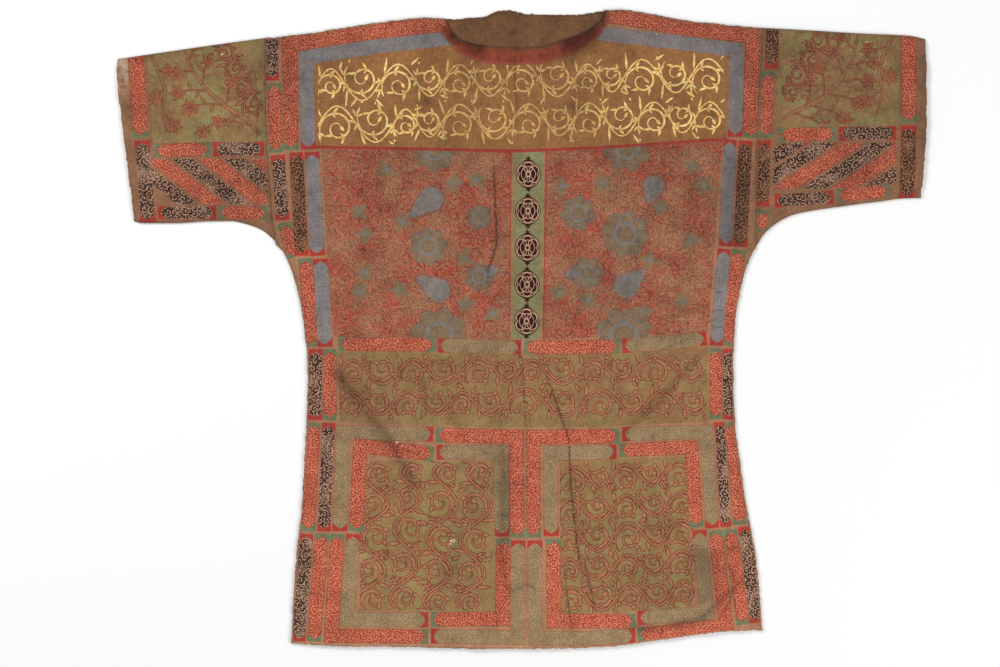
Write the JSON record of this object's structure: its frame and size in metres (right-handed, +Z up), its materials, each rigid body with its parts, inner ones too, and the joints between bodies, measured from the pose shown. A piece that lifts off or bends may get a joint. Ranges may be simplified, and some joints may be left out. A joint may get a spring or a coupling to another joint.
{
  "type": "talismanic shirt",
  "caption": "Short-sleeved painted cotton talismanic shirt with a scooped neck, laid out flat on its back.",
  "frame": {"origin": "on the surface that the shirt rests on, under the middle of its bounding box", "axes": "+X across the shirt, towards the sleeve on the viewer's right; +Y up the shirt to the neck; +Z up, out of the front"},
  "size_m": [1.0939, 0.864, 0.0055],
  "materials": {
    "plain_cloth": "matt",
    "painted_cloth": "matt"
  },
  "bodies": {
    "root": {"back_panel": "plain_cloth", "front_panel": "painted_cloth", "sleeve_left": "painted_cloth", "sleeve_right": "painted_cloth"}
  },
  "joints": []
}
